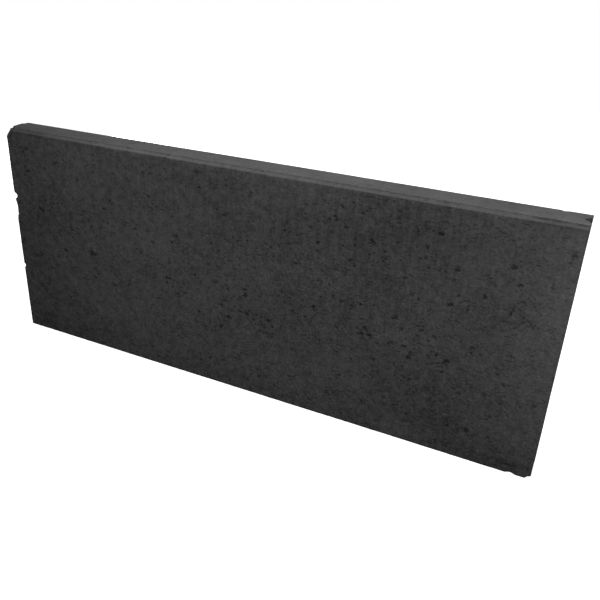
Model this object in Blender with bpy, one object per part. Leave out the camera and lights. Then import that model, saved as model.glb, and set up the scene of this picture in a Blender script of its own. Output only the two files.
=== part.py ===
"""Concrete edging stone: one upright cast slab with a tongue on one end and a groove in the other.

Metres, +Z up. The origin is the centre of the underside, midway between the two end faces. +X runs along the
stone to the grooved end, -Y is the face side and +Y the back, which is shaped like the face side.
"""

import math

import bmesh
import bpy
from mathutils import Matrix

# The slab, end face to end face, without the tongue
LAYING_LENGTH = 1.000
HEIGHT = 0.400
THICKNESS = 0.060

# The top edges: a slanted facet up from each face, then the upright step that the press plate leaves
FACET_SETBACK = 0.004
FACET_RISE = 0.004
PRESS_STEP = 0.002

# The upright V-groove in the +X end
GROOVE_MOUTH = 0.026
GROOVE_ROOT = 0.004
GROOVE_DEPTH = 0.009

# The tongue on the -X end fits a neighbour's groove with this gap on each flank and at its tip
JOINT_CLEARANCE = 0.001

# How far a cutter reaches past what it cuts
CUTTER_MARGIN = 0.010

CONCRETE_COLOUR = (0.032, 0.032, 0.033, 1.0)
CONCRETE_ROUGHNESS = 0.88


def clear_scene():
    for obj in list(bpy.data.objects):
        bpy.data.objects.remove(obj, do_unlink=True)


def new_collection(name):
    collection = bpy.data.collections.new(name)
    bpy.context.scene.collection.children.link(collection)
    return collection


def concrete_material():
    material = bpy.data.materials.new("anthracite_concrete")
    material.use_nodes = True
    shader = material.node_tree.nodes["Principled BSDF"]
    shader.inputs["Base Color"].default_value = CONCRETE_COLOUR
    shader.inputs["Roughness"].default_value = CONCRETE_ROUGHNESS
    shader.inputs["Metallic"].default_value = 0.0
    material.diffuse_color = CONCRETE_COLOUR
    return material


def extruded_outline(name, outline, depth, placement, collection):
    """A solid from a closed outline in its own XY plane, extruded by depth about that plane, then placed."""
    curve = bpy.data.curves.new(name + "_outline", "CURVE")
    curve.dimensions = "2D"
    curve.fill_mode = "BOTH"
    curve.extrude = depth / 2
    spline = curve.splines.new("POLY")
    spline.points.add(len(outline) - 1)
    for point, (x, y) in zip(spline.points, outline):
        point.co = (x, y, 0.0, 1.0)
    spline.use_cyclic_u = True
    drawn = bpy.data.objects.new(name + "_drawn", curve)
    bpy.context.scene.collection.objects.link(drawn)
    bpy.context.view_layer.update()
    graph = bpy.context.evaluated_depsgraph_get()
    mesh = bpy.data.meshes.new_from_object(drawn.evaluated_get(graph))
    bpy.data.objects.remove(drawn, do_unlink=True)
    close_caps(mesh)
    mesh.transform(placement)
    mesh.name = name
    solid = bpy.data.objects.new(name, mesh)
    collection.objects.link(solid)
    return solid


def close_caps(mesh):
    """Welds the loose caps of an extruded curve to its sides, and turns the faces outwards."""
    shape = bmesh.new()
    shape.from_mesh(mesh)
    bmesh.ops.remove_doubles(shape, verts=shape.verts, dist=1e-5)
    bmesh.ops.recalc_face_normals(shape, faces=shape.faces)
    shape.to_mesh(mesh)
    shape.free()


def plan_outline():
    """The stone seen from above: a rectangle with the groove let into +X and the tongue standing out of -X."""
    end = LAYING_LENGTH / 2
    face = THICKNESS / 2
    mouth, root = GROOVE_MOUTH / 2, GROOVE_ROOT / 2
    base, tip = mouth - JOINT_CLEARANCE, root - JOINT_CLEARANCE
    tongue_end = -end - (GROOVE_DEPTH - JOINT_CLEARANCE)
    groove_end = end - GROOVE_DEPTH
    groove_side = [(end, -face), (end, -mouth), (groove_end, -root), (groove_end, root), (end, mouth), (end, face)]
    tongue_side = [(-end, face), (-end, base), (tongue_end, tip), (tongue_end, -tip), (-end, -base), (-end, -face)]
    return groove_side + tongue_side


def top_edge_outline():
    """What is cut off one top edge, in the plane across the stone: y outwards from the middle, z up."""
    face, top = THICKNESS / 2, HEIGHT
    step_foot = top - PRESS_STEP
    facet_foot = step_foot - FACET_RISE
    beyond = face + CUTTER_MARGIN
    return [
        (face - FACET_SETBACK, top + CUTTER_MARGIN),
        (face - FACET_SETBACK, step_foot),
        (face, facet_foot),
        (beyond, facet_foot),
        (beyond, top + CUTTER_MARGIN),
    ]


def cut(solid, cutter):
    cutter.hide_render = True
    cutter.display_type = "WIRE"
    modifier = solid.modifiers.new("cut_" + cutter.name, "BOOLEAN")
    modifier.operation = "DIFFERENCE"
    modifier.solver = "EXACT"
    modifier.object = cutter


def build():
    clear_scene()
    stone_parts = new_collection("concrete_edging_stone")
    cutters = new_collection("cutters")

    stand_up = Matrix.Translation((0.0, 0.0, HEIGHT / 2))
    stone = extruded_outline("edging_stone", plan_outline(), HEIGHT, stand_up, stone_parts)
    stone.data.materials.clear()
    stone.data.materials.append(concrete_material())

    # The outline's x goes to the stone's y and its y to z, so the cutter runs along the stone
    across = Matrix(((0, 0, 1, 0), (1, 0, 0, 0), (0, 1, 0, 0), (0, 0, 0, 1)))
    cutter_length = LAYING_LENGTH + 2 * CUTTER_MARGIN
    back = extruded_outline("back_top_edge_cutter", top_edge_outline(), cutter_length, across, cutters)
    half_turn = Matrix.Rotation(math.pi, 4, "Z") @ across
    face = extruded_outline("face_top_edge_cutter", top_edge_outline(), cutter_length, half_turn, cutters)
    cut(stone, back)
    cut(stone, face)


build()
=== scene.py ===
"""Looks of the concrete edging stone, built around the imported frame.

The stone is one casting, so one mesh stands for the frame's one node. It is cast as a block, its joint and
its top edges are cut, its surface is meshed finely where it is worn, and then its seams, pores and chips are
pressed in. Metres, +Z up: +X runs along the stone to its grooved end, and -Y is the face side.
"""

import logging
import math
from dataclasses import dataclass, field
from enum import Enum
from typing import Callable, Iterable, Sequence

import bmesh
import bpy
import numpy as np
from mathutils import Matrix, Vector


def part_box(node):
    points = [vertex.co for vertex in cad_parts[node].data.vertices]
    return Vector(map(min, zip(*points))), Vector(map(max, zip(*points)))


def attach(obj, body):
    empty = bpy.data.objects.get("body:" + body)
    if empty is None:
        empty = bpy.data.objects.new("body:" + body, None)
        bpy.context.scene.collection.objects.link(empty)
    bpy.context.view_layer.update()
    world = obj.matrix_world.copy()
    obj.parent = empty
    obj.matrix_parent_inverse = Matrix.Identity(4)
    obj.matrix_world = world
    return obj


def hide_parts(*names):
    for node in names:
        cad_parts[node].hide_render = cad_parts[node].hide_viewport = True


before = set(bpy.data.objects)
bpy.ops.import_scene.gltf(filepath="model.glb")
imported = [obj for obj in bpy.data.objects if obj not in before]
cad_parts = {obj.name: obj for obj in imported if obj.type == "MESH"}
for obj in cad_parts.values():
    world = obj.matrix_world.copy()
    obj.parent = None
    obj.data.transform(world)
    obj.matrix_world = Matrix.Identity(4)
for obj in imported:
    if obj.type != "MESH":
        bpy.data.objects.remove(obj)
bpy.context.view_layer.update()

LOG = logging.getLogger("edging_stone")
NODE = "edging_stone"
Point = tuple[float, float, float]
Range = tuple[float, float]

# The share of a length along an axis past which a normal or an edge counts as lying along it
ALIGNED = 0.9

# The sine waves that make a dent's outline ragged: their strength, and their wave numbers along X, Y and Z
RAGGED_WAVES = ((0.22, (2100.0, 1700.0, 900.0)), (0.16, (-900.0, 1300.0, 2900.0)))

# How far a ragged dent may reach, as a multiple of its even outline
RAGGED_REACH = 1.6

# How much steeper than a bowl a dent's sides are, which leaves its bottom flat
STEEPNESS = 1.45


# ---- shader maths


class Value:
    """A shader socket that carries a number, with the operators that add Math nodes."""

    def __init__(self, graph: "Graph", socket: bpy.types.NodeSocket) -> None:
        """Wraps a socket.

        Args:
            graph: the graph that the socket belongs to.
            socket: the output socket.
        """
        self.graph = graph
        self.socket = socket

    def _math(self, operation: str, first: object, second: object = 0.0) -> "Value":
        """Adds one Math node.

        Args:
            operation: the node's operation.
            first: a number or a Value.
            second: a number or a Value.

        Returns:
            The result.
        """
        node = self.graph.node("ShaderNodeMath", {"operation": operation}, {0: first, 1: second})
        return Value(self.graph, node.outputs[0])

    def __add__(self, other: object) -> "Value":
        """Sum."""
        return self._math("ADD", self, other)

    __radd__ = __add__

    def __sub__(self, other: object) -> "Value":
        """Difference."""
        return self._math("SUBTRACT", self, other)

    def __rsub__(self, other: object) -> "Value":
        """Difference, reflected."""
        return self._math("SUBTRACT", other, self)

    def __mul__(self, other: object) -> "Value":
        """Product."""
        return self._math("MULTIPLY", self, other)

    __rmul__ = __mul__

    def above(self, low: float, high: float) -> "Value":
        """A smooth step from 0 at low to 1 at high.

        Args:
            low: the value that gives 0.
            high: the value that gives 1, which may be under low.

        Returns:
            The step, between 0 and 1.
        """
        if high < low:
            return 1.0 - self.above(high, low)
        settings = {"interpolation_type": "SMOOTHSTEP"}
        sockets = {"Value": self, "From Min": low, "From Max": high}
        node = self.graph.node("ShaderNodeMapRange", settings, sockets)
        return Value(self.graph, node.outputs["Result"])


@dataclass(frozen=True)
class Layer:
    """One noise of a finish.

    Attributes:
        size: the width of a blob, in metres.
        seed: a number that sets it apart from the other noises.
        tone: how much it counts in the tone.
        detail: how many finer octaves it has.
        stretch: how much longer its blobs are along X, Y and Z.
    """

    size: float
    seed: float
    tone: float = 1.0
    detail: float = 2.0
    stretch: Point = (1.0, 1.0, 1.0)


class Graph:
    """A material's node tree, filled from Python."""

    def __init__(self, name: str) -> None:
        """Starts a material with only its output.

        Args:
            name: the material's name.
        """
        self.material = bpy.data.materials.new(name)
        self.material.use_nodes = True
        self.tree = self.material.node_tree
        self.tree.nodes.clear()
        self.output = self.tree.nodes.new("ShaderNodeOutputMaterial")
        self.place = self.node("ShaderNodeTexCoord").outputs["Object"]

    def node(self, kind: str, settings: dict | None = None, sockets: dict | None = None) -> bpy.types.Node:
        """Adds any node.

        Args:
            kind: the node's type.
            settings: its properties, which are set first.
            sockets: input name or number to a number, a tuple, a Value or a socket.

        Returns:
            The node.
        """
        made = self.tree.nodes.new(kind)
        for key, value in (settings or {}).items():
            setattr(made, key, value)
        for key, value in (sockets or {}).items():
            if isinstance(value, Value):
                value = value.socket
            if isinstance(value, bpy.types.NodeSocket):
                self.tree.links.new(value, made.inputs[key])
            else:
                made.inputs[key].default_value = value
        return made

    def stretched(self, scale: Point) -> bpy.types.NodeSocket:
        """The object's coordinates, scaled along each axis.

        Args:
            scale: the factor along X, Y and Z.

        Returns:
            The vector socket.
        """
        node = self.node("ShaderNodeVectorMath", {"operation": "MULTIPLY"}, {0: self.place, 1: scale})
        return node.outputs["Vector"]

    def noise(self, layer: Layer) -> Value:
        """Noise between about -0.5 and 0.5.

        Args:
            layer: the noise's sizes.

        Returns:
            The noise.
        """
        where = self.stretched(tuple(1.0 / (layer.size * share) for share in layer.stretch))
        settings = {"noise_dimensions": "4D"}
        sockets = {"Vector": where, "W": layer.seed, "Scale": 1.0, "Detail": layer.detail, "Roughness": 0.55}
        node = self.node("ShaderNodeTexNoise", settings, sockets)
        return Value(self, node.outputs["Fac"]) - 0.5

    def grains(self, size: float, seed: float) -> tuple[Value, Value]:
        """Scattered grains: cells with a point in each.

        Args:
            size: the width of a cell, in metres.
            seed: a number that sets these grains apart from others.

        Returns:
            The distance to the nearest point, in cells, and that cell's own number between 0 and 1.
        """
        settings = {"voronoi_dimensions": "4D", "feature": "F1"}
        sockets = {"Vector": self.place, "W": seed, "Scale": 1.0 / size, "Randomness": 1.0}
        node = self.node("ShaderNodeTexVoronoi", settings, sockets)
        split = self.node("ShaderNodeSeparateColor", {}, {0: node.outputs["Color"]})
        return Value(self, node.outputs["Distance"]), Value(self, split.outputs[0])

    def attribute(self, name: str) -> Value:
        """A number stored on the mesh's points.

        Args:
            name: the attribute's name.

        Returns:
            Its value.
        """
        node = self.node("ShaderNodeAttribute", {"attribute_name": name})
        return Value(self, node.outputs["Fac"])

    def along(self, axis: str) -> Value:
        """The object's coordinate along X, Y or Z."""
        node = self.node("ShaderNodeSeparateXYZ", {}, {0: self.place})
        return Value(self, node.outputs[axis])


# ---- finishes


@dataclass(frozen=True)
class AnthraciteConcrete:
    """Pressed, through-coloured concrete: dark cement with fine sand, pores and a few pale grains.

    Attributes:
        dark: the colour of tone 0.
        pale: the colour of tone 1.
        tone: the tone of the plain surface.
        relief: the height of the bumps, in metres.
        facet_band: the heights between which the pressed top edges begin, which are smoother and get a
            painted highlight.
        top_band: the heights between which the top face begins, where painted shade darkens it.
        open_band: the stretch along X over which the surface grows coarser.
        close_band: the heights over which it grows finer.
    """

    dark: Point = (0.022, 0.022, 0.022)
    pale: Point = (0.200, 0.200, 0.200)
    tone: float = 0.43
    roughness: float = 0.86
    specular: float = 0.30
    relief: float = 0.0010
    facet_band: Range = (0.3930, 0.3950)
    top_band: Range = (0.3980, 0.3992)
    open_band: Range = (-0.55, 0.15)
    close_band: Range = (0.22, 0.34)
    streak_band: Range = (0.12, 0.36)
    sand: Layer = Layer(0.0016, 1.0, 0.32)
    crumbs: Layer = Layer(0.0042, 2.0, 0.90)
    blotches: Layer = Layer(0.011, 3.0, 0.70)
    clouds: Layer = Layer(0.090, 4.0, 0.34, 3.0)
    streaks: Layer = Layer(0.005, 5.0, 0.34, 2.0, (1.0, 1.0, 14.0))
    gathering: Layer = Layer(0.032, 8.0)
    flecks: Layer = Layer(0.0042, 9.0, 0.24, 1.0, (1.8, 1.0, 1.0))
    hole_size: float = 0.0058
    speck_size: float = 0.0075

    def build(self) -> bpy.types.Material:
        """Makes the material.

        Returns:
            The material, which reads three point attributes: the painted shade of the dents, the crumbled
            press seam, which also gets painted shade, and the patches of tone with their painted light and
            shade.
        """
        graph = Graph("anthracite_concrete")
        height = graph.along("Z")
        pressed = height.above(*self.facet_band)
        dent_shade = graph.attribute("dent_shade")
        sand = graph.noise(self.sand)
        crumbs = graph.noise(self.crumbs)

        near_hole, hole_kind = graph.grains(self.hole_size, 6.0)
        holes = near_hole.above(0.30, 0.12) * hole_kind.above(0.62, 0.80)
        gathered = graph.noise(self.gathering).above(-0.08, 0.10)
        flecks = graph.noise(self.flecks).above(0.06, 0.17) * gathered
        seam = graph.attribute("crumbled") * gathered
        # Painted shade in the air holes, the small pits, the pressed-in dents and along the crumbled press
        # seam
        pit_and_seam_shade = holes * 0.14 + flecks * self.flecks.tone + dent_shade * 0.46 + seam * 0.10

        openness = 0.72 + graph.along("X").above(*self.open_band) * 0.28
        closeness = 1.0 - height.above(*self.close_band) * 0.26
        fine = (sand * self.sand.tone + crumbs * self.crumbs.tone) * openness * closeness
        streaks = graph.noise(self.streaks) * height.above(*self.streak_band)
        broad = graph.noise(self.blotches) * self.blotches.tone + streaks * self.streaks.tone

        clouds = graph.noise(self.clouds) * self.clouds.tone
        # Patches of tone from the mesh, some of them painted light and painted shade, random clouds, and a
        # painted highlight on the pressed facets and the top face
        tone = self.tone + graph.attribute("stained_and_painted_tone") + clouds + pressed * 0.05
        # Painted shade that darkens the top face
        tone = tone - height.above(*self.top_band) * 0.14
        tone = tone + (fine + broad - pit_and_seam_shade) * (1.0 - pressed * 0.55) + self.specks(graph) * 0.55
        sockets = {0: tone, 6: (*self.dark, 1.0), 7: (*self.pale, 1.0)}
        mixed = graph.node("ShaderNodeMix", {"data_type": "RGBA", "clamp_factor": True}, sockets)

        rise = (sand * 0.30 + crumbs * 0.6 - holes * 0.5 - flecks * 0.35) * (1.0 - pressed * 0.5)
        bump = graph.node("ShaderNodeBump", {}, {"Strength": 1.0, "Distance": self.relief, "Height": rise})
        rough = self.roughness + sand * 0.12 + dent_shade * 0.08
        sockets = {"Base Color": mixed.outputs[2], "Roughness": rough, "Normal": bump.outputs["Normal"]}
        sockets |= {"Specular IOR Level": self.specular, "Metallic": 0.0}
        shader = graph.node("ShaderNodeBsdfPrincipled", {}, sockets)
        graph.tree.links.new(shader.outputs["BSDF"], graph.output.inputs["Surface"])
        return graph.material

    def specks(self, graph: Graph) -> Value:
        """The few pale grains of sand.

        Args:
            graph: the material's nodes.

        Returns:
            1 in a pale grain, 0 elsewhere.
        """
        near, kind = graph.grains(self.speck_size, 7.0)
        return near.above(0.17, 0.08) * kind.above(0.93, 0.96)


@dataclass(frozen=True)
class PaleFloor:
    """A plain white studio floor that glows a little, so that it stays even far from the lamps."""

    colour: Point = (0.80, 0.80, 0.80)
    glow: float = 0.95

    def build(self) -> bpy.types.Material:
        """Makes the material.

        Returns:
            The material.
        """
        graph = Graph("pale_floor")
        sockets = {"Base Color": (*self.colour, 1.0), "Roughness": 1.0, "Specular IOR Level": 0.0}
        sockets |= {"Emission Color": (1.0, 1.0, 1.0, 1.0), "Emission Strength": self.glow}
        shader = graph.node("ShaderNodeBsdfPrincipled", {}, sockets)
        graph.tree.links.new(shader.outputs["BSDF"], graph.output.inputs["Surface"])
        return graph.material


# ---- modelling by hand


class Pick(Enum):
    """What an edit-mode selection holds, with the select mode's name."""

    FACES = "FACE"
    EDGES = "EDGE"


class Join(Enum):
    """What is done with another block, with the Boolean modifier's name for it."""

    ADD = "UNION"
    CUT = "DIFFERENCE"


class Bench:
    """One mesh object being worked on with edit-mode operators."""

    def __init__(self, name: str) -> None:
        """Takes the object that was just added.

        Args:
            name: the name it gets.
        """
        self.obj = bpy.context.active_object
        self.obj.name = name
        self.obj.data.name = name

    @classmethod
    def block(cls, name: str, low: Point, high: Point) -> "Bench":
        """Adds a box primitive.

        Args:
            name: its name.
            low: its lowest corner.
            high: its highest corner.

        Returns:
            The bench that holds it.
        """
        bpy.ops.object.select_all(action="DESELECT")
        size = Vector(high) - Vector(low)
        middle = (Vector(high) + Vector(low)) / 2
        bpy.ops.mesh.primitive_cube_add(size=1.0, location=middle)
        bpy.context.active_object.scale = size
        bpy.ops.object.transform_apply(location=True, rotation=True, scale=True)
        return cls(name)

    def edit(self) -> None:
        """Opens edit mode."""
        bpy.context.view_layer.objects.active = self.obj
        bpy.ops.object.mode_set(mode="EDIT")

    def close(self) -> None:
        """Leaves edit mode."""
        bpy.ops.object.mode_set(mode="OBJECT")

    def select(self, pick: Pick, wanted: Callable[..., bool]) -> int:
        """Selects faces or edges, and nothing else.

        Args:
            pick: which of the two.
            wanted: says whether a face or an edge is selected.

        Returns:
            How many are.
        """
        bpy.ops.mesh.select_mode(type=pick.value)
        bpy.ops.mesh.select_all(action="DESELECT")
        shape = bmesh.from_edit_mesh(self.obj.data)
        chosen = [part for part in getattr(shape, pick.name.lower()) if wanted(part)]
        for part in chosen:
            part.select_set(True)
        bmesh.update_edit_mesh(self.obj.data)
        return len(chosen)

    def subdivide_along(self, axis: int, cuts: int, near: Callable[[Vector], bool]) -> None:
        """Subdivides the edges that run along one axis in one region.

        Args:
            axis: 0, 1 or 2.
            cuts: how many cuts each edge gets.
            near: says whether a place, an edge's middle, is in the region.
        """

        def wanted(edge: bmesh.types.BMEdge) -> bool:
            """Whether an edge runs along the axis and is in the region.

            Args:
                edge: the edge.

            Returns:
                True if it is wanted.
            """
            step = edge.verts[1].co - edge.verts[0].co
            aligned = abs(step[axis]) > ALIGNED * step.length
            return aligned and near((edge.verts[0].co + edge.verts[1].co) / 2)

        self.select(Pick.EDGES, wanted)
        bpy.ops.mesh.subdivide(number_cuts=cuts)

    def slice_at(self, places: Iterable[float], axis: int) -> None:
        """Cuts edges all round the mesh in planes across one axis.

        Args:
            places: where the planes are, along the axis.
            axis: 0, 1 or 2.
        """
        normal = [float(index == axis) for index in range(3)]
        for place in places:
            point = [place * share for share in normal]
            bpy.ops.mesh.select_all(action="SELECT")
            bpy.ops.mesh.bisect(plane_co=point, plane_no=normal, threshold=1e-5)

    def apply(self, modifier: bpy.types.Modifier) -> None:
        """Applies a modifier.

        Args:
            modifier: the modifier, on this object.
        """
        bpy.context.view_layer.objects.active = self.obj
        bpy.ops.object.modifier_apply(modifier=modifier.name)

    def combine(self, other: "Bench", join: Join) -> None:
        """Joins or cuts with another block, and removes it.

        Args:
            other: the other block.
            join: which of the two.
        """
        modifier = self.obj.modifiers.new(other.obj.name, "BOOLEAN")
        modifier.operation = join.value
        modifier.solver = "EXACT"
        modifier.object = other.obj
        self.apply(modifier)
        bpy.data.objects.remove(other.obj, do_unlink=True)

    def face_outwards(self) -> None:
        """Turns every face outwards."""
        self.edit()
        bpy.ops.mesh.select_all(action="SELECT")
        bpy.ops.mesh.normals_make_consistent(inside=False)
        self.close()

    def points(self) -> np.ndarray:
        """The mesh's points, one row each."""
        found = np.empty(len(self.obj.data.vertices) * 3)
        self.obj.data.vertices.foreach_get("co", found)
        return found.reshape(-1, 3)

    def group(self, name: str, weights: np.ndarray) -> str:
        """Adds a vertex group.

        Args:
            name: its name.
            weights: one weight for each point; those at 0 stay out.

        Returns:
            The name.
        """
        made = self.obj.vertex_groups.new(name=name)
        for index in np.flatnonzero(weights > 0.0):
            made.add([int(index)], float(weights[index]), "REPLACE")
        return name

    def press(
        self, strength: float, middle: float = 0.0, group: str = "", grain: float = 0.0, along: str = "NORMAL"
    ) -> None:
        """Moves the surface with a Displace modifier, along its normals unless told otherwise.

        Args:
            strength: how far a point at full weight moves, in metres.
            middle: the texture level that doesn't move.
            group: the vertex group that weights it, if any.
            grain: the width of the cloud texture's blobs, or 0 for an even push.
            along: the modifier's direction, NORMAL or an axis.
        """
        modifier = self.obj.modifiers.new("press", "DISPLACE")
        if grain:
            clouds = bpy.data.textures.new("clouds", "CLOUDS")
            clouds.noise_scale = grain
            clouds.noise_depth = 3
            modifier.texture = clouds
            modifier.texture_coords = "LOCAL"
        modifier.strength = strength
        modifier.mid_level = middle
        modifier.direction = along
        modifier.vertex_group = group
        self.apply(modifier)

    def shift(self, moves: np.ndarray) -> None:
        """Moves each point its own way, with one Displace modifier for each axis and sense.

        Args:
            moves: one row for each point, in metres.
        """
        for axis, along in enumerate("XYZ"):
            for sense in (-1.0, 1.0):
                reach = np.clip(moves[:, axis] * sense, 0.0, None)
                furthest = float(reach.max())
                if furthest > 0.0:
                    name = self.group(f"{along}{sense:+.0f}", reach / furthest)
                    self.press(sense * furthest, group=name, along=along)

    def store(self, name: str, values: np.ndarray) -> None:
        """Stores a number on each point, for the material.

        Args:
            name: the attribute's name.
            values: one value for each point.
        """
        made = self.obj.data.attributes.new(name, "FLOAT", "POINT")
        made.data.foreach_set("value", values.astype(np.float32))


# ---- the stone


class Side(Enum):
    """A broad side of the stone, as the sign of its Y."""

    FACE = -1
    BACK = 1


@dataclass(frozen=True)
class Hole:
    """An air hole, a broken spot or a chip: a round dent, roughened and drawn out.

    Attributes:
        place: its middle, on the surface.
        radius: half its width.
        depth: how deep it is in the middle.
        length: how much longer than wide it is.
        turn: how far its length leans up from X towards Z, in radians.
        dark: how much painted shade darkens it, between 0 and 1.
        worn: whether it is a smooth wear of an arris, without a ragged outline.
    """

    place: Point
    radius: float
    depth: float
    length: float = 1.0
    turn: float = 0.0
    dark: float = 1.0
    worn: bool = False

    def reach(self) -> Point:
        """How far it reaches from its middle along X, Y and Z."""
        c, s = abs(math.cos(self.turn)), abs(math.sin(self.turn))
        return (self.radius * (self.length * c + s), self.radius, self.radius * (self.length * s + c))


@dataclass(frozen=True)
class StainAndPaintedLight:
    """A broad patch darker or paler than the rest: some are the stone's own tone, others painted light and
    painted shade.

    Attributes:
        place: its middle.
        reach: how far it reaches along X and Z.
        shade: how much it adds to the tone.
    """

    place: Point
    reach: Range
    shade: float


@dataclass(frozen=True)
class SlabSizes:
    """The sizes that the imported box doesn't give, in metres."""

    facet_setback: float = 0.0035
    facet_rise: float = 0.0035
    press_step: float = 0.0018
    step_slope: float = 0.0010
    groove_mouth: float = 0.026
    groove_root: float = 0.004
    groove_depth: float = 0.009
    joint_clearance: float = 0.001

    def groove_splay(self) -> float:
        """How much the groove widens for each metre towards its mouth."""
        return (self.groove_mouth - self.groove_root) / self.groove_depth


@dataclass(frozen=True)
class MeshSizes:
    """How finely the surface is meshed: metres, cuts of an edge, and angles in degrees.

    Attributes:
        across: the distance between the cuts through the thickness.
        half_rows: the last cut's distance from the middle, in those distances.
        top_gap: the highest cut's distance from the top, at least.
        top_zone: how far the finer mesh reaches from the top face and from a broad side.
        edge_zone: how far the finer mesh of a foot or end arris reaches from it.
        smallest_cut: the area under which a face is fine enough, in square metres.
        dent_margin: how far round a dent the finer mesh reaches, in pitches.
        overlap: how far the groove's cutter and the tongue pass the slab's ends.
        arris_reach: how near the X, Y and Z sides a dent lies if it is on an arris.
    """

    pitch: float = 0.008
    across: float = 0.0065
    half_rows: float = 3.5
    lowest_row: float = 0.0045
    top_gap: float = 0.009
    arris: float = 0.0006
    bevel_segments: int = 2
    bevel_angle: float = 25.0
    smooth_angle: float = 38.0
    top_zone: Range = (0.0075, 0.0065)
    foot_zone: float = 0.0012
    edge_zone: float = 0.0015
    seam_cuts: int = 4
    foot_cuts: int = 2
    end_cuts: int = 3
    hole_cuts: int = 4
    smallest_cut: float = 2e-5
    dent_margin: float = 0.56
    overlap: float = 0.004
    arris_reach: Point = (0.002, 0.004, 0.0035)


@dataclass(frozen=True)
class Wear:
    """How one kind of wear moves the surface, in metres.

    Attributes:
        strength: how far a point at full weight moves at most.
        grain: the width of its blobs.
        start: the weight on the arris itself, before it is cut off at 1.
        fall: the distance from the arris over which the weight falls by 1.
    """

    strength: float
    grain: float
    start: float = 1.0
    fall: float = 1.0

    def weights(self, distance: np.ndarray) -> np.ndarray:
        """The weight at each distance from the arris."""
        return np.clip(self.start - distance / self.fall, 0.0, 1.0)


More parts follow.
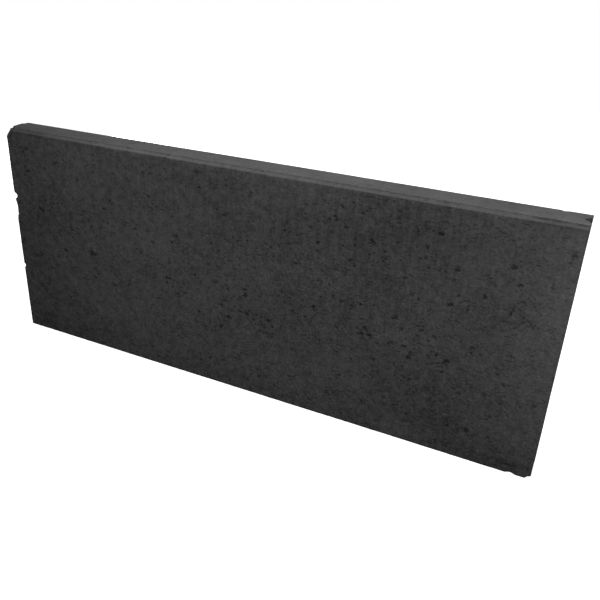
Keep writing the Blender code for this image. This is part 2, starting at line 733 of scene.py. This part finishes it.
@dataclass
class HoleScatter:
    """Draws the air holes of a pressed concrete surface, the same ones each time.

    Attributes:
        nests: how many groups of air holes a broad side has.
        crumbs: how many crumbled spots a press seam has.
        spots: x, z and width of the broken spots that stand out on the face side.
        end_margin: how far the groups stay from the tongue end.
        side_margins: how far they stay from the underside and from the top.
        drift: the power that draws them towards the grooved end.
        sparse: the share of the drawn number of holes that a group has anywhere.
        band: the height and the half width of the band that has more.
        upper: the height over which a group has a little more, and how much.
    """

    seed: int = 11
    nests: int = 150
    crumbs: int = 36
    deepest: float = 0.0018
    spots: tuple[Point, ...] = (
        (0.130, 0.195, 0.012), (0.225, 0.170, 0.013), (0.265, 0.210, 0.006), (0.295, 0.155, 0.007),
        (0.350, 0.160, 0.010), (0.430, 0.265, 0.008), (0.455, 0.250, 0.007), (0.030, 0.050, 0.009),
        (0.005, 0.290, 0.006), (0.155, 0.350, 0.008), (0.215, 0.325, 0.007), (-0.320, 0.190, 0.008),
        (-0.155, 0.180, 0.010), (-0.455, 0.365, 0.010), (-0.385, 0.350, 0.006), (-0.430, 0.260, 0.007),
        (-0.340, 0.325, 0.006), (-0.270, 0.300, 0.006),
    )
    radius: float = 0.0020
    radius_spread: float = 0.32
    radii: Range = (0.0012, 0.0040)
    depths: Range = (0.10, 0.30)
    lengths: Range = (1.0, 1.9)
    turns: Range = (-0.3, 0.5)
    darkness: Range = (0.25, 1.0)
    end_margin: float = 0.02
    both_margins: float = 0.03
    side_margins: Range = (0.012, 0.03)
    drift: float = 0.75
    per_nest: tuple[int, int] = (1, 7)
    sparse: float = 0.20
    band: Range = (0.19, 0.055)
    band_gain: float = 0.85
    upper: Range = (0.24, 0.12)
    round_up: float = 0.7
    nest_widths: Range = (0.010, 0.044)
    sigmas: float = 2.6
    spot_holes: int = 4
    spot_spread: float = 1.4
    spot_radius: float = 0.20
    seam_drift: float = 0.8
    seam_reach: float = 1.2
    seam_radii: Range = (0.0007, 0.0014)
    seam_lengths: Range = (1.0, 3.0)
    seam_darkness: Range = (0.2, 0.6)
    draw: np.random.Generator = field(init=False)

    def __post_init__(self) -> None:
        """Starts the random draws."""
        self.draw = np.random.default_rng(self.seed)

    def nest(self, x: float, y: float, z: float, width: float, count: int) -> list[Hole]:
        """Draws a handful of holes that lie close together.

        Args:
            x: the middle, along the stone.
            y: the surface that they are in.
            z: the middle's height.
            width: how far they spread.
            count: how many there are.

        Returns:
            The holes.
        """
        holes = []
        for _ in range(count):
            dx, dz = self.draw.normal(0.0, width / self.sigmas, 2)
            drawn = self.draw.lognormal(math.log(self.radius), self.radius_spread)
            radius = float(np.clip(drawn, *self.radii))
            depth = min(float(radius * self.draw.uniform(*self.depths)), self.deepest)
            length, turn = self.draw.uniform(*self.lengths), self.draw.uniform(*self.turns)
            # How much painted shade the hole gets
            dark = self.draw.uniform(*self.darkness)
            holes.append(Hole((x + dx, y, z + dz), radius, depth, length, turn, dark))
        return holes

    def crowding(self, z: float) -> float:
        """How full a group of holes is, which depends on its height.

        Args:
            z: the height.

        Returns:
            The share of the drawn number of holes that it gets.
        """
        middle, half_width = self.band
        upper_from, upper_gain = self.upper
        banded = self.band_gain * math.exp(-(((z - middle) / half_width) ** 2))
        return self.sparse + banded + upper_gain * (z > upper_from)

    def broad_side(self, side: Side, low: Vector, high: Vector) -> list[Hole]:
        """Draws the holes of one broad side: most lie at half height and towards the grooved end.

        Args:
            side: which side.
            low: the slab's lowest corner.
            high: its highest corner.

        Returns:
            The holes.
        """
        y = high.y * side.value
        foot_margin, top_margin = self.side_margins
        reach = high.x - low.x - self.both_margins
        holes = []
        for _ in range(self.nests):
            x = low.x + self.end_margin + reach * self.draw.uniform() ** self.drift
            z = self.draw.uniform(low.z + foot_margin, high.z - top_margin)
            count = int(self.draw.integers(*self.per_nest) * self.crowding(z) + self.round_up)
            holes += self.nest(x, y, z, self.draw.uniform(*self.nest_widths), count)
        if side is Side.FACE:
            for x, z, width in self.spots:
                holes += self.nest(x, y, z, width * self.spot_spread, self.spot_holes)
                radius = width * self.spot_radius
                holes.append(Hole((x, y, z), radius, radius * 0.8, length=1.5, turn=0.5))
        return holes

    def seam(self, side: Side, high: Vector, sizes: SlabSizes) -> list[Hole]:
        """Draws the crumbled spots along the press seam of one top edge.

        Args:
            side: which side's top edge.
            high: the slab's highest corner.
            sizes: the slab's own sizes.

        Returns:
            The holes.
        """
        y = (high.y - sizes.facet_setback) * side.value
        holes = []
        for _ in range(self.crumbs):
            x = -high.x + 2 * high.x * self.draw.uniform() ** self.seam_drift
            z = high.z - self.draw.uniform(0.0, sizes.press_step * self.seam_reach)
            radius = self.draw.uniform(*self.seam_radii)
            # How much painted shade the seam crumb gets
            dark = self.draw.uniform(*self.seam_darkness)
            length = self.draw.uniform(*self.seam_lengths)
            holes.append(Hole((x, y, z), radius, radius * 0.5, length, dark=dark))
        return holes


@dataclass
class EdgingStone:
    """The cast stone: a slab with facetted top edges, a groove in its +X end and a tongue on its -X end.

    Attributes:
        seam_wear: how the press seam crumbles.
        arris_wear: how the arrises of the ends and the foot crumble.
        unevenness: how uneven its faces are.
        seam_depth: how far under the top the seam's crumbling reaches.
        groove_shade: how much painted shade darkens the groove, in tone.
    """

    finish: AnthraciteConcrete = AnthraciteConcrete()
    sizes: SlabSizes = SlabSizes()
    mesh: MeshSizes = MeshSizes()
    scatter: HoleScatter = field(default_factory=HoleScatter)
    seam_wear: Wear = Wear(-0.0005, 0.0100, 1.6, 0.0012)
    arris_wear: Wear = Wear(-0.0007, 0.0060, 1.3, 0.0016)
    unevenness: Wear = Wear(0.0006, 0.12)
    seam_depth: float = 0.004
    groove_shade: float = 0.30

    def __post_init__(self) -> None:
        """Reads the slab's own box, without the tongue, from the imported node."""
        low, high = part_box(NODE)
        self.tongue_tip = low.x
        self.high = high
        self.low = Vector((-high.x, low.y, low.z))

    def build(self) -> bpy.types.Object:
        """Makes the finished stone.

        Returns:
            The object.
        """
        bench = self.cast()
        self.cut_joint(bench)
        self.mesh_surface(bench)
        holes = self.holes()
        self.refine(bench, holes)
        self.wear(bench, holes)
        return self.dress(bench)

    def cast(self) -> Bench:
        """The slab with its facets and press step: a box whose top is drawn up twice.

        Returns:
            The bench that holds it.
        """
        sizes, high = self.sizes, self.high
        foot = high.z - sizes.press_step - sizes.facet_rise
        bench = Bench.block("edging_stone_cast", self.low, (high.x, high.y, foot))
        bench.edit()
        bench.select(Pick.FACES, lambda face: face.normal.z > ALIGNED)
        narrow = (high.y - sizes.facet_setback) / high.y
        bpy.ops.mesh.extrude_region_move(TRANSFORM_OT_translate={"value": (0, 0, sizes.facet_rise)})
        bpy.ops.transform.resize(value=(1, narrow, 1), center_override=(0, 0, high.z))
        bpy.ops.mesh.extrude_region_move(TRANSFORM_OT_translate={"value": (0, 0, sizes.press_step)})
        narrow = 1 - sizes.step_slope / (high.y - sizes.facet_setback)
        bpy.ops.transform.resize(value=(1, narrow, 1), center_override=(0, 0, high.z))
        bench.close()
        return bench

    def wedge(self, name: str, base_x: float, tip_x: float, base: float, tip: float, extra: float) -> Bench:
        """An upright wedge: a box whose end at tip_x is narrowed.

        Args:
            name: its name.
            base_x: where its wide end is.
            tip_x: where its narrow end is.
            base: its width at the wide end.
            tip: its width at the narrow end.
            extra: how far it passes the slab's top and underside.

        Returns:
            The bench that holds it.
        """
        low = (min(base_x, tip_x), -base / 2, self.low.z - extra)
        high = (max(base_x, tip_x), base / 2, self.high.z + extra)
        bench = Bench.block(name, low, high)
        inward = math.copysign(1.0, tip_x - base_x)
        bench.edit()
        bench.select(Pick.FACES, lambda face: face.normal.x * inward > ALIGNED)
        bpy.ops.transform.resize(value=(1, tip / base, 1), center_override=(tip_x, 0, 0))
        bench.close()
        return bench

    def cut_joint(self, bench: Bench) -> None:
        """Cuts the groove and joins the tongue, then takes the sharpness off every arris.

        Args:
            bench: the slab.
        """
        sizes, overlap = self.sizes, self.mesh.overlap
        root_x, mouth_x = self.high.x - sizes.groove_depth, self.high.x + overlap
        outside = sizes.groove_mouth + sizes.groove_splay() * overlap
        cutter = self.wedge("groove_cutter", mouth_x, root_x, outside, sizes.groove_root, overlap)
        bench.combine(cutter, Join.CUT)

        base = sizes.groove_mouth - 2 * sizes.joint_clearance
        tip = sizes.groove_root - 2 * sizes.joint_clearance
        splay = (base - tip) / (self.low.x - self.tongue_tip)
        inside = base + splay * overlap
        tongue = self.wedge("tongue", self.low.x + overlap, self.tongue_tip, inside, tip, 0.0)
        bench.combine(tongue, Join.ADD)

        bevel = bench.obj.modifiers.new("arris", "BEVEL")
        bevel.width = self.mesh.arris
        bevel.segments = self.mesh.bevel_segments
        bevel.limit_method = "ANGLE"
        bevel.angle_limit = math.radians(self.mesh.bevel_angle)
        bench.apply(bevel)
        bench.face_outwards()

    def mesh_surface(self, bench: Bench) -> None:
        """Cuts the faces into a grid, finer along the arrises.

        Args:
            bench: the slab.
        """
        mesh, low, high = self.mesh, self.low, self.high
        top_z, top_y = high.z - mesh.top_zone[0], high.y - mesh.top_zone[1]
        end_x, side_y = high.x - mesh.edge_zone, high.y - mesh.edge_zone
        bench.edit()
        bench.slice_at(np.arange(low.x + mesh.pitch / 2, high.x, mesh.pitch), 0)
        bench.slice_at(np.arange(low.z + mesh.lowest_row, high.z - mesh.top_gap, mesh.pitch), 2)
        bench.slice_at(np.arange(-mesh.half_rows, mesh.half_rows + 0.5) * mesh.across, 1)
        bench.subdivide_along(0, mesh.seam_cuts, lambda at: at.z > top_z and abs(at.y) > top_y)
        bench.subdivide_along(0, mesh.foot_cuts, lambda at: at.z < mesh.foot_zone and abs(at.y) > side_y)
        bench.subdivide_along(2, mesh.end_cuts, lambda at: abs(at.x) > end_x and abs(at.y) > side_y)
        bench.close()

    def chips(self) -> list[Hole]:
        """The damage to arrises and corners, listed one by one.

        Returns:
            The chips and the worn places.
        """
        end, face, top = self.high.x, self.high.y, self.high.z
        worn = (
            ((-end, -face, 0.272), 0.0080, 0.0052),
            ((-end, -face, 0.248), 0.0055, 0.0024, 4.5, math.pi / 2),
            ((-end, -face, 0.237), 0.0050, 0.0026),
            ((-end, -face, 0.130), 0.0055, 0.0030),
            ((-end, -face, top), 0.0185, 0.0068),
            ((-end, -face + 0.010, top), 0.0130, 0.0050),
            ((-end - 0.006, -0.004, top), 0.0130, 0.0036),
            ((end, -face, 0.0), 0.0095, 0.0050),
            ((end - 0.030, -face, 0.001), 0.0050, 0.0022, 1.8),
            ((-end, face, 0.310), 0.0070, 0.0040),
            ((end, face, 0.120), 0.0080, 0.0042),
            ((0.180, face, 0.0), 0.0085, 0.0036, 1.7),
        )
        # The broken spots get painted shade inside them
        broken = (
            Hole((end - 0.046, -face + 0.0035, top - 0.0018), 0.0024, 0.0010, 13.0, dark=0.9),
            Hole((end - 0.010, -face + 0.0030, top - 0.0025), 0.0024, 0.0012, 5.0, dark=0.9),
            Hole((end - 0.036, face - 0.004, top), 0.0030, 0.0020, 1.6, dark=0.8),
        )
        return [Hole(*sizes, dark=0.0, worn=True) for sizes in worn] + list(broken)

    def stains_and_painted_light(self) -> list[StainAndPaintedLight]:
        """The broad changes of tone, listed one by one.

        Returns:
            The patches: the stone's own tone, painted light and painted shade.
        """
        end, face = self.high.x, self.high.y
        return [
            # Painted shade over the tongue end of the face side
            StainAndPaintedLight((-end, -face, 0.20), (0.13, 0.40), -0.14),
            # Painted shade on the top face at the grooved end
            StainAndPaintedLight((end, 0.0, 0.40), (0.10, 0.02), -0.05),
            # Painted shade on the press seam at both ends, where less light reaches it
            StainAndPaintedLight((end - 0.02, -face, 0.3945), (0.06, 0.003), -0.32),
            StainAndPaintedLight((-end, -face, 0.3945), (0.15, 0.004), -0.22),
            # Painted highlight along the facet of the face side
            StainAndPaintedLight((-0.20, -face, 0.3960), (0.16, 0.003), 0.14),
            # Darker and paler patches on the face side
            StainAndPaintedLight((-0.18, -face, 0.24), (0.12, 0.22), 0.05),
            StainAndPaintedLight((0.27, -face, 0.35), (0.07, 0.05), -0.12),
            StainAndPaintedLight((0.08, -face, 0.33), (0.22, 0.05), -0.05),
            StainAndPaintedLight((0.35, -face, 0.06), (0.05, 0.05), -0.14),
            # Painted light on the grooved end of the face side
            StainAndPaintedLight((end, -face, 0.27), (0.075, 0.20), 0.26),
            # Painted shade along the foot of the face side
            StainAndPaintedLight((-0.42, -face, 0.01), (0.10, 0.04), -0.08),
            StainAndPaintedLight((-0.12, -face, 0.0), (0.34, 0.045), -0.09),
            StainAndPaintedLight((0.45, -face, 0.01), (0.08, 0.045), -0.18),
            # Darker and paler patches on the back
            StainAndPaintedLight((-0.30, face, 0.28), (0.12, 0.10), 0.10),
            StainAndPaintedLight((0.22, face, 0.10), (0.14, 0.09), -0.12),
        ]

    def holes(self) -> list[Hole]:
        """Every dent in the surface.

        Returns:
            Air holes, seam crumbs and chips.
        """
        found = self.chips()
        for side in Side:
            found += self.scatter.broad_side(side, self.low, self.high)
            found += self.scatter.seam(side, self.high, self.sizes)
        return found

    def refine(self, bench: Bench, holes: Sequence[Hole]) -> None:
        """Cuts the grid finer where the air holes and the chips are.

        Args:
            bench: the slab.
            holes: every dent.
        """
        places = np.array([hole.place for hole in holes])
        reach = np.array([hole.reach() for hole in holes]) + self.mesh.pitch * self.mesh.dent_margin

        def near(face: bmesh.types.BMFace) -> bool:
            """Whether a face is large enough to cut, and near a dent.

            Args:
                face: the face.

            Returns:
                True if it is cut finer.
            """
            if face.calc_area() < self.mesh.smallest_cut:
                return False
            gap = np.abs(places - np.array(face.calc_center_median()))
            return bool((gap < reach).all(axis=1).any())

        bench.edit()
        count = bench.select(Pick.FACES, near)
        bpy.ops.mesh.subdivide(number_cuts=self.mesh.hole_cuts)
        bench.select(Pick.FACES, lambda face: len(face.verts) > 4)
        bpy.ops.mesh.poke()
        bench.close()
        LOG.info("refined %d faces for %d dents", count, len(holes))

    def inward(self, hole: Hole) -> np.ndarray:
        """Which way a dent is pressed in: away from each side of the slab that it lies on.

        Args:
            hole: the dent.

        Returns:
            The direction, of length 1.
        """
        x, y, z = hole.place
        near_x, near_y, near_z = self.mesh.arris_reach
        way = Vector((0.0, -math.copysign(1.0, y), 0.0))
        if self.high.x - abs(x) < near_x:
            way.x = -math.copysign(1.0, x)
        if self.high.y - abs(y) > near_y:
            way.y = 0.0
        if z - self.low.z < near_z:
            way.z = 1.0
        if self.high.z - z < near_z:
            way.z = -1.0
        return np.array(way.normalized())

    def dents(self, points: np.ndarray, holes: Sequence[Hole]) -> tuple[np.ndarray, np.ndarray]:
        """How far the dents move each point, and how much painted shade they put on it.

        Args:
            points: the mesh's points.
            holes: every dent.

        Returns:
            The moves in metres, one row for each point, and the painted shade between 0 and 1.
        """
        moves, depth, dark = np.zeros(points.shape), np.zeros(len(points)), np.zeros(len(points))
        ragged = np.ones(len(points))
        for strength, waves in RAGGED_WAVES:
            ragged += strength * np.sin(points @ waves)
        for hole in holes:
            step = points - hole.place
            close = np.flatnonzero((np.abs(step) < np.multiply(hole.reach(), RAGGED_REACH)).all(axis=1))
            step = step[close]
            c, s = math.cos(hole.turn), math.sin(hole.turn)
            along = (step[:, 0] * c + step[:, 2] * s) / hole.length
            upright = step[:, 2] * c - step[:, 0] * s
            away = np.sqrt(along**2 + upright**2 + step[:, 1] ** 2) / hole.radius
            shape = np.clip(STEEPNESS * (1.0 - (away * ragged[close]) ** 2), 0.0, 1.0)
            if hole.worn:
                shape = np.clip(1.0 - away**2, 0.0, 1.0) ** 2
            deeper = close[shape * hole.depth > depth[close]]
            depth[close] = np.maximum(depth[close], shape * hole.depth)
            moves[deeper] = depth[deeper, None] * self.inward(hole)
            dark[close] = np.maximum(dark[close], shape * hole.dark)
        return moves, dark

    def wear(self, bench: Bench, holes: Sequence[Hole]) -> None:
        """Roughens the surface, crumbles the seam and the arrises, and presses the dents in.

        Args:
            bench: the slab.
            holes: every dent.
        """
        points = bench.points()
        seam_y = self.high.y - self.sizes.facet_setback
        seam_z = self.high.z - self.sizes.press_step / 2
        from_seam = np.hypot(np.abs(points[:, 1]) - seam_y, points[:, 2] - seam_z)
        seam = self.seam_wear.weights(from_seam) * (points[:, 2] > self.high.z - self.seam_depth)
        end = np.abs(np.abs(points[:, 0]) - self.high.x)
        side = np.abs(np.abs(points[:, 1]) - self.high.y)
        foot = np.abs(points[:, 2])
        arris = self.arris_wear.weights(np.sort(np.stack([end, side, foot]), axis=0)[1])

        moves, dark = self.dents(points, holes)
        for wear, name, weights in ((self.seam_wear, "seam", seam), (self.arris_wear, "arris", arris)):
            bench.press(wear.strength, group=bench.group(name, weights), grain=wear.grain)
        bench.shift(moves)
        bench.press(self.unevenness.strength, middle=0.5, grain=self.unevenness.grain)
        # Painted shade in the dents
        bench.store("dent_shade", dark)
        bench.store("crumbled", seam)
        # The patches of tone with their painted light and shade, less the painted shade in the groove
        bench.store("stained_and_painted_tone", self.stained_and_painted_tone(points) - self.groove_shade * self.in_groove(points))
        bench.obj.vertex_groups.clear()

    def in_groove(self, points: np.ndarray) -> np.ndarray:
        """Says which points are on the groove's own faces.

        Args:
            points: the mesh's points.

        Returns:
            1 for those in the groove, 0 for the others.
        """
        sizes, slack = self.sizes, self.mesh.arris / 3
        deep = self.high.x - points[:, 0]
        half = (sizes.groove_mouth - sizes.groove_splay() * deep) / 2
        inside = (deep < sizes.groove_depth + slack) & (np.abs(points[:, 1]) < half + slack)
        return (inside & (points[:, 2] < self.high.z - self.mesh.arris)).astype(float)

    def stained_and_painted_tone(self, points: np.ndarray) -> np.ndarray:
        """How much paler or darker the patches make each point, in the stone's own tone and in painted light
        and shade.

        Args:
            points: the mesh's points.

        Returns:
            The change of tone.
        """
        shade = np.zeros(len(points))
        for patch in self.stains_and_painted_light():
            step = (points - patch.place) / (patch.reach[0], self.high.y, patch.reach[1])
            shade += patch.shade * np.exp(-(step**2).sum(axis=1))
        return shade

    def dress(self, bench: Bench) -> bpy.types.Object:
        """Shades the stone, gives it its finish and ties it to the frame.

        Args:
            bench: the slab.

        Returns:
            The object.
        """
        stone = bench.obj
        bpy.ops.object.select_all(action="DESELECT")
        stone.select_set(True)
        bpy.context.view_layer.objects.active = stone
        bpy.ops.object.shade_smooth_by_angle(angle=math.radians(self.mesh.smooth_angle))
        stone.data.materials.clear()
        stone.data.materials.append(self.finish.build())
        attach(stone, "root")
        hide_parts(NODE)
        return stone


# ---- the studio


@dataclass(frozen=True)
class Lamp:
    """A soft box, as wide and as high as its size says, that points at a spot."""

    name: str
    place: Point
    aim: Point
    size: Range
    watts: float


@dataclass
class Studio:
    """The pale floor, the soft light and the camera."""

    floor: PaleFloor = PaleFloor()
    floor_reach: float = 60.0
    camera_place: Point = (0.510, -0.906, 0.654)
    camera_aim: Point = (0.106, -0.030, 0.202)
    camera_roll: float = 2.84
    camera_lens: float = 40.05
    camera_sensor: float = 36.0
    camera_reach: float = 200.0
    world_strength: float = 0.06
    lamps: tuple[Lamp, ...] = (
        Lamp("overhead", (0.10, 0.30, 1.60), (0.05, 0.0, 0.40), (1.0, 1.0), 9.0),
        Lamp("front", (0.40, -1.20, 1.90), (0.10, 0.0, 0.25), (1.0, 1.0), 23.0),
        Lamp("back", (-0.20, 1.90, 0.75), (0.0, 0.0, 0.20), (1.2, 1.2), 8.0),
        Lamp("grooved_end", (1.70, 1.40, 0.20), (0.5, 0.0, 0.20), (1.0, 0.36), 10.0),
        Lamp("tongue_end", (-1.70, 1.40, 0.20), (-0.5, 0.0, 0.20), (1.0, 0.36), 10.0),
    )

    def build(self) -> None:
        """Makes all of it."""
        self.lay_floor()
        self.hang_lamps()
        self.set_world()
        self.set_camera()

    def lay_floor(self) -> None:
        """The floor, which doesn't throw its own light on the stone."""
        bpy.ops.object.select_all(action="DESELECT")
        bpy.ops.mesh.primitive_plane_add(size=2 * self.floor_reach)
        floor = bpy.context.active_object
        floor.name = "floor"
        floor.data.materials.append(self.floor.build())
        floor.visible_diffuse = False
        floor.visible_glossy = False

    def hang(self, data: bpy.types.ID, place: Point, aim: Point, roll: float = 0.0) -> bpy.types.Object:
        """Adds a lamp or the camera to the scene.

        Args:
            data: the lamp or the camera itself.
            place: where it goes.
            aim: what it points at.
            roll: how far it leans about its own axis, in degrees.

        Returns:
            The object that holds it.
        """
        holder = bpy.data.objects.new(data.name, data)
        bpy.context.scene.collection.objects.link(holder)
        turn = (Vector(aim) - Vector(place)).to_track_quat("-Z", "Y").to_matrix().to_4x4()
        holder.matrix_world = turn @ Matrix.Rotation(math.radians(roll), 4, "Z")
        holder.location = place
        return holder

    def hang_lamps(self) -> None:
        """The soft boxes."""
        for lamp in self.lamps:
            light = bpy.data.lights.new(lamp.name, "AREA")
            light.shape = "RECTANGLE"
            light.size, light.size_y = lamp.size
            light.energy = lamp.watts
            self.hang(light, lamp.place, lamp.aim)

    def set_world(self) -> None:
        """A white room: full white behind the floor, and a little light from all round."""
        world = bpy.data.worlds.new("white_room")
        bpy.context.scene.world = world
        world.use_nodes = True
        tree = world.node_tree
        tree.nodes.clear()
        output = tree.nodes.new("ShaderNodeOutputWorld")
        seen = tree.nodes.new("ShaderNodeLightPath")
        strength = tree.nodes.new("ShaderNodeMapRange")
        strength.inputs["To Min"].default_value = self.world_strength
        strength.inputs["To Max"].default_value = 1.0
        back = tree.nodes.new("ShaderNodeBackground")
        back.inputs["Color"].default_value = (1.0, 1.0, 1.0, 1.0)
        tree.links.new(seen.outputs["Is Camera Ray"], strength.inputs["Value"])
        tree.links.new(strength.outputs["Result"], back.inputs["Strength"])
        tree.links.new(back.outputs["Background"], output.inputs["Surface"])
        bpy.context.scene.view_settings.view_transform = "Standard"

    def set_camera(self) -> None:
        """The camera, close to the stone's right end and looking down along it."""
        camera = bpy.data.cameras.new("camera")
        camera.lens = self.camera_lens
        camera.sensor_width = self.camera_sensor
        camera.clip_end = self.camera_reach
        bpy.context.scene.camera = self.hang(camera, self.camera_place, self.camera_aim, self.camera_roll)


def main() -> None:
    """Builds the stone and the studio around it."""
    logging.basicConfig(level=logging.INFO, format="%(message)s")
    stone = EdgingStone().build()
    triangles = sum(len(face.vertices) - 2 for face in stone.data.polygons)
    LOG.info("%s: %d points, %d triangles", stone.name, len(stone.data.vertices), triangles)
    Studio().build()


if __name__ == "__main__":
    main()
